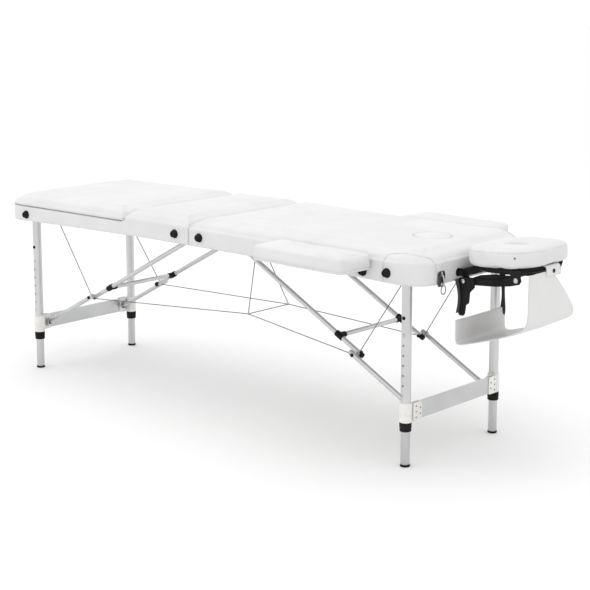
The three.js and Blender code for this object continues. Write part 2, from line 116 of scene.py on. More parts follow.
# ---- Materials ------------------------------------------------------------------------------------
class Look:
    """A procedural material that reads its textures from the object's own coordinates."""

    def __init__(self, name):
        self.material = bpy.data.materials.new(name)
        self.material.use_nodes = True
        self.nodes = self.material.node_tree.nodes
        self.links = self.material.node_tree.links
        self.shader = self.nodes["Principled BSDF"]

    def place(self, stretch=(1, 1, 1)):
        coordinates = self.nodes.new("ShaderNodeTexCoord")
        mapping = self.nodes.new("ShaderNodeMapping")
        mapping.inputs["Scale"].default_value = stretch
        self.links.new(coordinates.outputs["Object"], mapping.inputs["Vector"])
        return mapping.outputs["Vector"]

    def texture(self, place, kind, output="Fac", bands=None, **inputs):
        node = self.nodes.new(f"ShaderNodeTex{kind}")
        for key, value in inputs.items():
            node.inputs[key].default_value = value
        if bands:
            node.bands_direction = bands
        self.links.new(place, node.inputs["Vector"])
        return node.outputs[output]

    def product(self, first, second):
        node = self.nodes.new("ShaderNodeMath")
        node.operation = "MULTIPLY"
        self.links.new(first, node.inputs[0])
        self.links.new(second, node.inputs[1])
        return node.outputs["Value"]

    def colour(self, source, low, high, span=(0.35, 0.65)):
        ramp = self.nodes.new("ShaderNodeValToRGB")
        for element, position, value in zip(ramp.color_ramp.elements, span, (low, high)):
            element.position = position
            element.color = (*value, 1)
        self.links.new(source, ramp.inputs["Fac"])
        self.links.new(ramp.outputs["Color"], self.shader.inputs["Base Color"])

    def roughness(self, source, low, high):
        spread = self.nodes.new("ShaderNodeMapRange")
        spread.inputs["To Min"].default_value = low
        spread.inputs["To Max"].default_value = high
        self.links.new(source, spread.inputs["Value"])
        self.links.new(spread.outputs["Result"], self.shader.inputs["Roughness"])

    def bump(self, source, strength, distance, under=None):
        bump = self.nodes.new("ShaderNodeBump")
        bump.inputs["Strength"].default_value = strength
        bump.inputs["Distance"].default_value = distance
        self.links.new(source, bump.inputs["Height"])
        if under is not None:
            self.links.new(under, bump.inputs["Normal"])
        self.links.new(bump.outputs["Normal"], self.shader.inputs["Normal"])
        return bump.outputs["Normal"]

    def value(self, key, number):
        self.shader.inputs[key].default_value = number


def vinyl_material(name, low, high, grain=900):
    look = Look(name)
    place = look.place()
    pebbles = look.texture(place, "Voronoi", "Distance", Scale=grain)
    creases = look.texture(place, "Noise", Scale=26.0, Detail=4.0, Roughness=0.6)
    patches = look.texture(place, "Noise", Scale=7.0, Detail=3.0)
    look.colour(patches, low, high)
    look.roughness(creases, 0.36, 0.56)
    look.bump(pebbles, 0.22, 0.0003, look.bump(creases, 0.18, 0.0012))
    look.value("Specular IOR Level", 0.42)
    look.value("Coat Weight", 0.06)
    look.value("Coat Roughness", 0.35)
    return look.material


def metal_material(name, low, high, rough, stretch, strength=0.12):
    look = Look(name)
    streaks = look.texture(look.place(stretch), "Noise", Scale=60.0, Detail=5.0, Roughness=0.7)
    smudges = look.texture(look.place(), "Noise", Scale=9.0, Detail=3.0)
    look.value("Metallic", 1.0)
    look.colour(smudges, low, high)
    look.roughness(streaks, *rough)
    look.bump(streaks, strength, 0.0002)
    return look.material


def plastic_material(name, low, high, rough, grain=500, strength=0.15):
    look = Look(name)
    place = look.place()
    fine = look.texture(place, "Noise", Scale=grain, Detail=2.0)
    broad = look.texture(place, "Noise", Scale=14.0, Detail=3.0)
    look.colour(broad, low, high)
    look.roughness(broad, *rough)
    look.bump(fine, strength, 0.0003)
    look.value("Specular IOR Level", 0.12)
    return look.material


def webbing_material(name):
    look = Look(name)
    place = look.place()
    ribs = look.texture(place, "Wave", bands="Y", Scale=170.0)
    picks = look.texture(place, "Wave", bands="Z", Scale=230.0)
    weave = look.product(ribs, picks)
    look.colour(weave, (0.012, 0.012, 0.014), (0.04, 0.04, 0.045), (0.2, 0.8))
    look.roughness(weave, 0.75, 0.92)
    look.bump(weave, 0.6, 0.0006)
    look.value("Sheen Weight", 0.3)
    return look.material


def wood_material(name):
    look = Look(name)
    rings = look.texture(
        look.place((1.2, 14, 14)), "Noise", Scale=4.0, Detail=6.0, Roughness=0.65, Distortion=0.6)
    look.colour(rings, (0.60, 0.575, 0.535), (0.70, 0.68, 0.645))
    look.roughness(rings, 0.55, 0.75)
    look.bump(rings, 0.2, 0.0006)
    return look.material


VINYL = vinyl_material("white_vinyl", (0.655, 0.655, 0.657), (0.695, 0.695, 0.695))
WELT = vinyl_material("welt_vinyl", (0.60, 0.60, 0.60), (0.65, 0.65, 0.65), 1400)
SLING = vinyl_material("sling_vinyl", (0.67, 0.665, 0.66), (0.72, 0.715, 0.71), 1100)
ALUMINIUM = metal_material(
    "satin_aluminium", (0.57, 0.573, 0.578), (0.62, 0.623, 0.628), (0.28, 0.36), (18, 18, 0.6))
PANEL = metal_material(
    "panel_aluminium", (0.54, 0.543, 0.548), (0.59, 0.593, 0.598), (0.36, 0.44), (18, 0.6, 18))
STEEL = metal_material("bright_steel", (0.48, 0.49, 0.51), (0.66, 0.67, 0.69), (0.20, 0.38), (6, 6, 6))
CABLE = metal_material(
    "cable_steel", (0.11, 0.11, 0.115), (0.22, 0.22, 0.225), (0.34, 0.5), (40, 40, 40), 0.5)
CLAMP = plastic_material("off_white_plastic", (0.74, 0.725, 0.69), (0.82, 0.81, 0.775), (0.38, 0.52))
BLACK = plastic_material("black_plastic", (0.005, 0.005, 0.006), (0.012, 0.012, 0.013), (0.40, 0.55))
CRADLE = plastic_material(
    "cradle_black", (0.006, 0.006, 0.007), (0.015, 0.015, 0.016), (0.46, 0.60), 320, 0.3)
RUBBER = plastic_material(
    "black_rubber", (0.007, 0.007, 0.007), (0.015, 0.015, 0.015), (0.62, 0.80), 700, 0.3)
# Dark steel for the screws, latch and eyelet; also the painted shade of the discs set in the leg holes.
DARK_STEEL_AND_HOLE_SHADE = metal_material("dark_steel", (0.13, 0.13, 0.135), (0.24, 0.24, 0.245), (0.30, 0.44), (6, 6, 6))
# Grey plastic for the strip round the lift-up section: painted shadow of the gap between the pads.
GAP_SHADOW = plastic_material("gap_edging", (0.16, 0.16, 0.16), (0.24, 0.24, 0.24), (0.7, 0.85))
WEBBING = webbing_material("black_webbing")
WOOD = wood_material("plywood")


# ---- Mesh helpers ---------------------------------------------------------------------------------
def add_object(name, shell):
    """Turns a shell into an object of the scene."""
    mesh = bpy.data.meshes.new(name)
    shell.to_mesh(mesh)
    shell.free()
    piece = bpy.data.objects.new(name, mesh)
    bpy.context.scene.collection.objects.link(piece)
    return piece


def to_object(name, shell, material, body):
    shell.normal_update()
    piece = add_object(name, shell)
    piece.data.materials.append(material)
    for face in piece.data.polygons:
        face.use_smooth = True
    if body:
        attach(piece, body)
    return piece


def crisp(piece, angle=38):
    """Smooth shading that keeps real edges sharp."""
    bpy.context.view_layer.objects.active = piece
    for other in bpy.context.selected_objects:
        other.select_set(False)
    piece.select_set(True)
    bpy.ops.object.shade_smooth_by_angle(angle=math.radians(angle))
    apply_modifiers(piece)
    return piece


def apply_modifiers(piece):
    graph = bpy.context.evaluated_depsgraph_get()
    mesh = bpy.data.meshes.new_from_object(piece.evaluated_get(graph))
    materials = [slot.material for slot in piece.material_slots]
    old = piece.data
    piece.modifiers.clear()
    piece.data = mesh
    mesh.materials.clear()
    for material in materials:
        mesh.materials.append(material)
    bpy.data.meshes.remove(old)


def skin(rings, close_path=False):
    """Joins rings of points, all of one length, into a surface."""
    shell = bmesh.new()
    rows = [[shell.verts.new(point) for point in ring] for ring in rings]
    count = len(rows[0])
    last = len(rows) if close_path else len(rows) - 1
    for i in range(last):
        a, b = rows[i], rows[(i + 1) % len(rows)]
        for k in range(count):
            shell.faces.new((a[k], a[(k + 1) % count], b[(k + 1) % count], b[k]))
    if not close_path:
        shell.faces.new(list(reversed(rows[0])))
        shell.faces.new(rows[-1])
    bmesh.ops.recalc_face_normals(shell, faces=shell.faces)
    return shell


def circle(centre, across, other, radius, sides):
    """Points round a centre in the plane of two directions, with a radius in millimetres."""
    points = []
    for k in range(sides):
        turn = 2 * math.pi * k / sides
        points.append(centre + (across * math.cos(turn) + other * math.sin(turn)) * radius / 1000)
    return points


def turned(name, start, end, profile, material, body, sides=40):
    """A turned shape: profile rows are (radius, distance along start to end), both in millimetres."""
    axis = (end - start).normalized()
    across = axis.orthogonal().normalized()
    other = axis.cross(across)
    rings = []
    for radius, distance in profile:
        centre = start + axis * (distance / 1000)
        rings.append(circle(centre, across, other, max(radius, 0.02), sides))
    return crisp(to_object(name, skin(rings), material, body))


def pipe(name, start, end, radius, bore, material, body):
    length = (end - start).length * 1000
    depth = min(25, length / 2)
    profile = [
        (0, depth), (bore, depth), (bore, 0.5), (bore + 0.4, 0), (radius - 0.5, 0), (radius, 0.5),
        (radius, length - 0.5), (radius - 0.5, length), (bore + 0.4, length), (bore, length - 0.5),
        (bore, length - depth), (0, length - depth),
    ]
    return turned(name, start, end, profile, material, body, 48)


def smooth_path(points, steps=8):
    """Catmull-Rom curve through the points."""
    path = []
    padded = [points[0] * 2 - points[1], *points, points[-1] * 2 - points[-2]]
    for i in range(1, len(padded) - 2):
        p0, p1, p2, p3 = padded[i - 1:i + 3]
        for k in range(steps):
            t = k / steps
            squared = (2 * p0 - 5 * p1 + 4 * p2 - p3) * t * t
            cubed = (3 * p1 - p0 - 3 * p2 + p3) * t ** 3
            path.append(0.5 * (2 * p1 + (p2 - p0) * t + squared + cubed))
    path.append(points[-1].copy())
    return path


def sweep(name, path, radius, material, body, sides=10, closed=False):
    """A round tube along a path."""
    rings = []
    side = None
    count = len(path)
    for i, point in enumerate(path):
        before = path[(i - 1) % count] if closed else path[max(i - 1, 0)]
        after = path[(i + 1) % count] if closed else path[min(i + 1, count - 1)]
        along = (after - before).normalized()
        if side is None:
            side = along.orthogonal().normalized()
        else:
            side = (side - along * side.dot(along)).normalized()
        rings.append(circle(point, side, along.cross(side), radius, sides))
    return to_object(name, skin(rings, close_path=closed), material, body)


def rounded_outline(x0, x1, half, low, high, inset, steps=(26, 16, 10)):
    """Points round a rectangle with its own corner radius at each end, moved in by inset (mm)."""
    along, across, corner = steps
    a, b = max(low - inset, 1.5), max(high - inset, 1.5)
    x0, x1, half = x0 + inset, x1 - inset, half - inset
    points = []
    corners = (
        (x1 - b, -half + b, b, -90, (x1, half - b), across),
        (x1 - b, half - b, b, 0, (x0 + a, half), along),
        (x0 + a, half - a, a, 90, (x0, -half + a), across),
        (x0 + a, -half + a, a, 180, (x1 - b, -half), along),
    )
    for cx, cy, r, begin, side_end, side_steps in corners:
        for k in range(corner + 1):
            angle = math.radians(begin + 90 * k / corner)
            points.append((cx + r * math.cos(angle), cy + r * math.sin(angle)))
        x, y = points[-1]
        for k in range(1, side_steps):
            t = k / side_steps
            points.append((x + (side_end[0] - x) * t, y + (side_end[1] - y) * t))
    return points


def arc_rows(inset, z, radius, begin, end, steps=7):
    """Rows (inset, height) along an arc whose centre is at that inset and height."""
    rows = []
    for k in range(steps + 1):
        angle = math.radians(begin + (end - begin) * k / steps)
        rows.append((inset - radius * math.cos(angle), z + radius * math.sin(angle)))
    return rows


def swept_outline(outline_args, rows, closed=False):
    rings = [[at(x, y, z) for x, y in rounded_outline(*outline_args, inset)] for inset, z in rows]
    return skin(rings, close_path=closed)


# ---- Soft goods -----------------------------------------------------------------------------------
def puff(piece, voxel, pressure, cap, held):
    """Blows the pad up as cloth over foam. Points for which held(point) is true stay tacked."""
    remesh = piece.modifiers.new("remesh", "REMESH")
    remesh.mode = "VOXEL"
    remesh.voxel_size = voxel
    remesh.use_smooth_shade = True
    apply_modifiers(piece)
    rest = [vertex.co.copy() for vertex in piece.data.vertices]
    tacked = piece.vertex_groups.new(name="tacked")
    tacked.add([i for i, point in enumerate(rest) if held(point)], 1.0, "REPLACE")
    cloth = piece.modifiers.new("cloth", "CLOTH")
    cloth.settings.quality = 4
    cloth.settings.mass = 0.4
    cloth.settings.tension_stiffness = 12
    cloth.settings.compression_stiffness = 12
    cloth.settings.bending_stiffness = 2
    cloth.settings.use_pressure = True
    cloth.settings.uniform_pressure_force = pressure
    cloth.settings.vertex_group_mass = "tacked"
    cloth.settings.effector_weights.gravity = 0
    cloth.point_cache.frame_start = 1
    cloth.point_cache.frame_end = CLOTH_FRAMES
    scene = bpy.context.scene
    for number in range(1, CLOTH_FRAMES + 1):
        scene.frame_set(number)
    graph = bpy.context.evaluated_depsgraph_get()
    blown = [vertex.co.copy() for vertex in piece.evaluated_get(graph).data.vertices]
    piece.modifiers.remove(cloth)
    for vertex, start, end in zip(piece.data.vertices, rest, blown):
        move = end - start
        if move.length > cap:
            move *= cap / move.length
        vertex.co = start + move
    scene.frame_set(1)
    piece.vertex_groups.clear()
    fine = piece.modifiers.new("fine", "SUBSURF")
    fine.levels = 1
    fine.render_levels = 1
    apply_modifiers(piece)
    for face in piece.data.polygons:
        face.use_smooth = True


def press_groove(piece, path, depth, width):
    """Presses a soft channel into the piece along a path of points."""
    reach = width * 2.6
    normals = [vertex.normal.copy() for vertex in piece.data.vertices]
    low = Vector([min(p[k] for p in path) - reach for k in range(3)])
    high = Vector([max(p[k] for p in path) + reach for k in range(3)])
    for vertex, normal in zip(piece.data.vertices, normals):
        point = vertex.co
        if any(point[k] < low[k] or point[k] > high[k] for k in range(3)):
            continue
        near = min((point - p).length_squared for p in path) ** 0.5
        if near < reach:
            vertex.co = point - normal * depth * math.exp(-(near / width) ** 2)


def ripple(piece, amount, size, where=None):
    """Slow unevenness of foam and tight vinyl."""
    normals = [vertex.normal.copy() for vertex in piece.data.vertices]
    for vertex, normal in zip(piece.data.vertices, normals):
        share = where(vertex.co) if where else 1.0
        if share > 0:
            vertex.co += normal * amount * share * noise.noise(vertex.co / size)


def bed_places(piece):
    """Each vertex with its place in the bed's own millimetres."""
    for vertex in piece.data.vertices:
        yield vertex, (vertex.co.x - MIDDLE) * 1000, vertex.co.y * 1000, vertex.co.z * 1000


def crown(piece, x0, x1, rise):
    """Raises the middle of a pad's top a little and rolls its two ends down."""
    for vertex, x, y, z in bed_places(piece):
        if z > 612:
            u = min(max((x - x0) / (x1 - x0), 0), 1)
            share = (1 - (y / HALF) ** 2) * (1 - (2 * u - 1) ** 6)
            end = max(1 - min(abs(x - x0), abs(x1 - x)) / 65, 0)
            vertex.co.z += (rise * share - 4.5 * end * end) / 1000 * (z - 612) / 34


RAIL_WRAP = [(24, 602), (24, BOTTOM + 1), (23, BOTTOM), (5, BOTTOM), (1.5, BOTTOM + 1.5), (0, BOTTOM + 5)]


def top_rows(edge):
    return arc_rows(edge, TOP - edge - 1.5, edge, 0, 90) + [(60, TOP - 1.2), (120, TOP - 0.6), (200, TOP)]


def finish_pad(piece, x0, x1, node):
    puff(piece, 0.0062, 3.0, 0.005, lambda p: p.z < 0.618)
    crown(piece, x0, x1, 2.5)
    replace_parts(piece, node)
    return piece


def head_pad():
    """Top and sides of the head half in one cover, which wraps the rail."""
    rows = [(26, 609), *RAIL_WRAP, (0, 580), *top_rows(30)]
    shell = swept_outline((0.3, BED_END, HALF, 5, 95), rows)
    piece = to_object("head_pad_cover", shell, VINYL, "head_half")
    return finish_pad(piece, 0.3, BED_END, "head_half_pad")


def back_pad():
    """Cover of the fixed back pad, which runs on round the rails under the lift-up section."""
    rows = [(26, 604.5), (24, SPLIT - 2), (3, SPLIT - 2), (0, SPLIT - 1), *top_rows(30)]
    pad = swept_outline((FIXED_PAD_END, -0.3, HALF, 5, 5), rows)
    rail_rows = [(0, SPLIT - 3), (1.2, SPLIT - 0.6), (3, SPLIT), (23, SPLIT), (24, SPLIT - 2)]
    rail = swept_outline((-BED_END, -0.3, HALF, 60, 5), [*RAIL_WRAP, *rail_rows], closed=True)
    part = bpy.data.meshes.new("rail")
    rail.to_mesh(part)
    rail.free()
    pad.from_mesh(part)
    bpy.data.meshes.remove(part)
    piece = to_object("back_pad_cover", pad, VINYL, "back_half")
    return finish_pad(piece, FIXED_PAD_END, -0.3, "back_fixed_pad")


def lift_pad():
    rows = [(40, SPLIT + 0.3), (3.5, SPLIT + 0.3), (1.0, SPLIT + 1.6), (0, SPLIT + 5), *top_rows(26)]
    shell = swept_outline((-BED_END, LIFT_PAD_START, HALF, 60, 6), rows)
    piece = to_object("backrest_cover", shell, VINYL, "backrest")
    return finish_pad(piece, -BED_END, LIFT_PAD_START, "backrest_pad")


head_cover = head_pad()
fixed_cover = back_pad()
lift_cover = lift_pad()
# A dark strip laid along the lift-up section's edge: painted shadow of the gap between the pads.
gap_outline = rounded_outline(-BED_END, LIFT_PAD_START, HALF, 60, 6, 1.6)
gap_line = [at(x, y, SPLIT + 0.2) for x, y in gap_outline]
sweep("lift_gap_edging", gap_line, 0.8, GAP_SHADOW, "back_half", 8, closed=True)


# Face hole: a round groove with its plug, in a shallow hollow
hole = at(FACE_HOLE_X, 0, TOP)


def hollow(piece):
    for vertex in piece.data.vertices:
        if vertex.co.z > 0.63:
            away = math.hypot(vertex.co.x - hole.x, vertex.co.y) * 1000
            if away < 150:
                vertex.co.z -= 0.0026 * math.exp(-((away - 58) / 42) ** 2)
            ring = abs(away - 57.5)
            if ring < 9:
                vertex.co.z -= 0.006 * math.exp(-(ring / 2.2) ** 2)


hollow(head_cover)


# Corner seams at the head end: a raised welt in a shallow groove
def piece_point(piece, point, lift=0.0003):
    """The place on a cover nearest to a point, a little proud of it."""
    found, place, normal, _ = piece.closest_point_on_mesh(point)
    return place + normal * lift if found else point


def corner_seam(side):
    guide = [
        at(795, side * 282, 563), at(795, side * 282, 590), at(796, side * 281, 612),
        at(800, side * 272, 634), at(812, side * 261, 644), at(850, side * 250, 648),
        at(886, side * 240, 648), at(908, side * 228, 646), at(922, side * 216, 638),
        at(928, side * 206, 618), at(930, side * 200, 590), at(930, side * 200, 563),
    ]
    return [piece_point(head_cover, p, 0.0006) for p in smooth_path(guide, 10)]


def relax(points):
    """Evens out a seam that was laid on an uneven cover."""
    for _ in range(12):
        middle = [(a + b * 2 + c) / 4 for a, b, c in zip(points, points[1:], points[2:])]
        points = [points[0], *middle, points[-1]]
    return points


for label, side in SIDES:
    seam = relax(corner_seam(side))
    press_groove(head_cover, seam, 0.0016, 0.006)
    head_cover.data.update()
    raised = relax(corner_seam(side))
    sweep(f"corner_welt_{label}", raised, 1.3, WELT, "head_half", 8)


# Tension dimples where the covers are pulled over the centre joint and the corners
def gathers(piece, x, spread, depth):
    for vertex, px, py, pz in bed_places(piece):
        if pz > 575:
            near = math.exp(-((px - x) / spread) ** 2)
            edge = math.exp(-((abs(py) - 250) / 60) ** 2)
            wave = math.sin(py / 9 + 2.5 * noise.noise(vertex.co * 22))
            vertex.co.z += depth / 1000 * near * edge * wave * min((pz - 575) / 50, 1)


for piece, x in ((head_cover, 25), (fixed_cover, -25), (fixed_cover, -285), (lift_cover, -335)):
    gathers(piece, x, 26, 0.9)
for piece in (head_cover, fixed_cover, lift_cover):
    ripple(piece, 0.0011, 0.06, lambda p: 1.0 if p.z > 0.62 else 0.35)
    piece.data.update()


# Plug of the face hole
plug_rows = [
    (40, 0), (53, 0), (55.5, 3), (55.8, 20), (55.6, 30), (53, 35.5), (46, 37.6), (30, 38.4), (12, 38.8),
    (0.5, 38.9),
]
plug_bottom, plug_top = at(FACE_HOLE_X, 0, 607.2), at(FACE_HOLE_X, 0, 650)
plug = turned("face_plug_cover", plug_bottom, plug_top, plug_rows, VINYL, "face_plug", 64)
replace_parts(plug, "face_hole_plug")


# ---- Armrests -------------------------------------------------------------------------------------
def armrest_outline(x0, x1, half, side, inset):
    """Rounded on the outer edge, nearly square beside the bed."""
    outer = rounded_outline(x0, x1, half, 13, 13, inset, (14, 6, 6))
    inner = rounded_outline(x0, x1, half, 7, 7, inset, (14, 6, 6))
    return [a if a[1] * side > 0 else b for a, b in zip(outer, inner)]


def armrest(label, side):
    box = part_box(f"armrest_pad_{label}")
    low, high = Vector(box[0]), Vector(box[1])
    x0, x1 = (low.x - MIDDLE) * 1000, (high.x - MIDDLE) * 1000
    middle_y = (low.y + high.y) * 500
    half = (high.y - low.y) * 500 - 2
    bottom, top = low.z * 1000 + 1, high.z * 1000 - 3
    rows = [(40, bottom), *arc_rows(6, bottom + 6, 6, -90, 0, 4)]
    rows += arc_rows(9, top - 9, 9, 0, 90)
    rows += [(30, top + 1), (50, top + 1.5)]
    rings = []
    for inset, z in rows:
        outline = armrest_outline(x0 + 1, x1 + 8, half, side, inset)
        rings.append([at(x, y + middle_y, z) for x, y in outline])
    piece = to_object(f"armrest_cover_{label}", skin(rings), VINYL, f"armrest_{label}")
    puff(piece, 0.005, 2.0, 0.003, lambda p: p.z < low.z + 0.003)
    inner = side * 286
    dents = [at(x0 + 20 + 15 * k, inner, 612) for k in range(20)]
    press_groove(piece, dents, 0.002, 0.02)
    ripple(piece, 0.0013, 0.05)
    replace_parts(piece, f"armrest_pad_{label}")
    outline = armrest_outline(x0, x1 + 9, half + 2, side, -0.2)
    seam = [piece_point(piece, at(x, y + middle_y, bottom + 9)) for x, y in outline]
    sweep(f"armrest_welt_{label}", seam, 1.2, WELT, f"armrest_{label}", 8, closed=True)


for label, side in SIDES:
    armrest(label, side)


# ---- Legs -----------------------------------------------------------------------------------------
def drill(piece, cutters):
    """Cuts real holes, then removes the cutting shapes."""
    for cutter in cutters:
        cut = piece.modifiers.new("cut", "BOOLEAN")
        cut.operation = "DIFFERENCE"
        cut.solver = "EXACT"
        cut.object = cutter
    apply_modifiers(piece)
    for cutter in cutters:
        bpy.data.objects.remove(cutter, do_unlink=True)


def cutter_rod(start, end, radius):
    axis = (end - start).normalized()
    across = axis.orthogonal().normalized()
    other = axis.cross(across)
    return add_object("cutter", skin([circle(centre, across, other, radius, 24) for centre in (start, end)]))


def open_tube(name, x, y, radius, bore, z0, z1, material, body):
    """A hollow tube standing on the line (x, y)."""
    rows = [
        (radius, z0 + 0.5), (radius, z1 - 0.5), (radius - 0.4, z1), (bore + 0.3, z1),
        (bore, z1 - 0.5), (bore, z0 + 0.5), (bore + 0.3, z0), (radius - 0.4, z0),
    ]
    turns = [2 * math.pi * k / 48 for k in range(48)]
    rings = [[at(x + r * math.cos(turn), y + r * math.sin(turn), z) for turn in turns] for r, z in rows]
    return to_object(name, skin(rings, close_path=True), material, body)


FOOT_PROFILE = [
    (10, 0), (13.4, 0.1), (14.6, 1.6), (14.9, 4.5), (14.4, 6.1), (13.4, 6.4), (11.2, 6.6), (11.2, 28),
]
CLAMP_PROFILE = [
    (15.3, 0.5), (17.0, 0), (18.6, 1.4), (18.9, 4), (18.9, 17), (18.2, 18.2), (18.2, 20), (18.9, 21.2),
    (18.9, 53), (18.4, 56.5), (17.0, 58.6), (15.4, 58.9),
]
COLLAR_PROFILE = [
    (13.7, 0), (16.2, 0), (17.4, 1.2), (17.6, 5), (17.0, 7), (17.0, 9), (17.9, 11), (18.1, 24),
    (17.3, 26.6), (15, 26.8),
]
BUTTON_PROFILE = [(0.5, 0), (2.4, 0.3), (3.7, 1.2), (4.4, 2.8), (4.4, 13)]
LEG_PLUG_PROFILE = [(0.5, 0), (4.2, 0.2), (5.4, 1.0), (5.8, 2.4), (5.8, 4.8)]
# Dark disc set in a leg hole: painted shade in place of the hole's dark inside.
HOLE_SHADE_PROFILE = [(0.4, 0), (3.3, 0), (3.3, 1.4)]
SCREW_PROFILE = [(0.4, 0.3), (1.9, 0), (2.5, 0.7), (2.6, 2.0)]
LEG_PLUG_Z = 446
PANEL_MIDDLE_X = 852.5
PANEL_FACES = (("outer", 858.2), ("inner", 846.8))
FLANGE_SCREWS = ((199, 147), (199, 164), (199, 181), (179, 155), (179, 173))


def outer_leg(x, y, side, key, legs):
    """Outer tube, with real holes for the button, the height steps and the hinge rod."""
    outer = open_tube(f"outer_tube_{key}", x, y, 15, 13.9, 140, 594, ALUMINIUM, legs)
    cutters = []
    for i in range(7):
        z = BUTTON_Z - HOLE_STEP * i
        cutters.append(cutter_rod(at(x, y + side * 30, z), at(x, y, z), 3.4 if 0 < i < 6 else 4.9))
    cutters.append(cutter_rod(at(x, y - 30, LEG_HINGE_Z), at(x, y + 30, LEG_HINGE_Z), 6.3))
    drill(outer, cutters)
    crisp(outer)
    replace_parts(outer, f"outer_leg_{key}")


def leg(end_name, end, label, side):
    x, y = end * LEG_X, side * LEG_Y
    key = f"{end_name}_{label}"
    legs, inner_body = f"{end_name}_legs", f"inner_leg_{key}"

    def sideways(out, z):
        return at(x, y + side * out, z)

    outer_leg(x, y, side, key, legs)
    inner = open_tube(f"inner_tube_{key}", x, y, 13.5, 11.6, 6.2, 470, ALUMINIUM, inner_body)
    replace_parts(inner, f"inner_leg_{key}")
    foot = turned(f"foot_{key}", at(x, y, 0.05), at(x, y, 30), FOOT_PROFILE, RUBBER, inner_body)
    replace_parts(foot, f"foot_cap_{key}")
    low, high = at(x, y, 134), at(x, y, 193)
    clamp = turned(f"clamp_{key}", low, high, CLAMP_PROFILE, CLAMP, legs, 56)
    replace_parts(clamp, f"leg_clamp_{key}")
    turned(f"collar_{key}", at(x, y, 107), low, COLLAR_PROFILE, BLACK, legs, 48)
    tip, root = sideways(18.4, BUTTON_Z), at(x, y, BUTTON_Z)
    button = turned(f"button_{key}", tip, root, BUTTON_PROFILE, STEEL, f"height_button_{key}", 28)
    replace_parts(button, f"height_button_{key}")
    tip, root = sideways(17.2, LEG_PLUG_Z), sideways(12, LEG_PLUG_Z)
    turned(f"leg_plug_{key}", tip, root, LEG_PLUG_PROFILE, BLACK, legs, 28)
    # Dark discs in the five middle holes: painted shade standing in for the dark inside of each hole.
    for i in range(1, 6):
        z = BUTTON_Z - HOLE_STEP * i
        shade_name = f"hole_shade_{key}_{i}"
        turned(shade_name, sideways(14.1, z), at(x, y, z), HOLE_SHADE_PROFILE, DARK_STEEL_AND_HOLE_SHADE, legs, 24)
    for face_name, face_x in PANEL_FACES:
        face = end * face_x
        outward = 1 if face > end * PANEL_MIDDLE_X else -1
        flange(f"{face_name}_{key}", face, outward, side, legs)


def flange(key, face, outward, side, body):
    """White plate that clamps the panel's end, with five dark screws."""
    outline = rounded_outline(-20, 20, 27.5, 5, 5, 0, (4, 6, 6))
    rings = []
    for inset, depth in ((0, 0), (0, 1.8), (0.8, 2.6)):
        x = face + outward * depth
        rings.append([
            at(x, side * 190 + p * (1 - inset / 20), 163.5 + q * (1 - inset / 27)) for p, q in outline
        ])
    crisp(to_object(f"flange_{key}", skin(rings), CLAMP, body), 40)
    for y, z in FLANGE_SCREWS:
        start, end = at(face + outward * 4.0, side * y, z), at(face, side * y, z)
        turned(f"flange_screw_{key}_{y}_{z}", start, end, SCREW_PROFILE, DARK_STEEL_AND_HOLE_SHADE, body, 18)


for end_name, end in ENDS:
    for label, side in SIDES:
        leg(end_name, end, label, side)


# ---- Braces ---------------------------------------------------------------------------------------
def knee_point(end):
    top = pivot("head_upper_brace_fold" if end > 0 else "back_upper_brace_fold")
    foot = pivot("head_lower_brace_fold" if end > 0 else "back_lower_brace_fold")
    along = (foot - top).normalized()
    return top, foot, along, top + along * KNEE_FROM_TOP


UPPER_CAP_PROFILE = [(7.9, 0), (8.4, 0.6), (8.5, 9), (8.4, 12.5), (7.2, 14.2), (2, 14.5)]
LOWER_CAP_PROFILE = [(7.9, 0), (8.3, 0.6), (8.3, 9), (8.2, 12.5), (7.2, 14.2), (2, 14.5)]
FOOT_END_PROFILE = [(7.9, 0), (8.3, 0.6), (8.3, 12), (7.2, 14.6), (2, 15)]
WASHER_PROFILE = [(3.7, 0), (6.5, 0.2), (7.0, 1.0), (6.4, 1.8), (3.8, 2), (3.7, 10)]
HEAD_PROFILE = [(0.5, 0), (4.2, 0.2), (5.6, 1.4), (5.8, 3.6), (5.8, 5)]
NUT_PROFILE = [(0.5, 0.3), (4.6, 0), (5.4, 1), (5.4, 5.4)]
PIN_PROFILE = [(0.5, 0.2), (4.6, 0), (5.4, 1), (5.4, 5)]
BRACE_COLLAR_PROFILE = [
    (7.8, 0), (9.6, 0.4), (10.2, 1.6), (10.4, 15), (10.2, 28.4), (9.6, 29.6), (7.8, 30),
]
SOCKET_PROFILE = [(8.6, 0), (9.3, 1.0), (9.3, 15), (8.8, 17), (7.6, 17.4)]


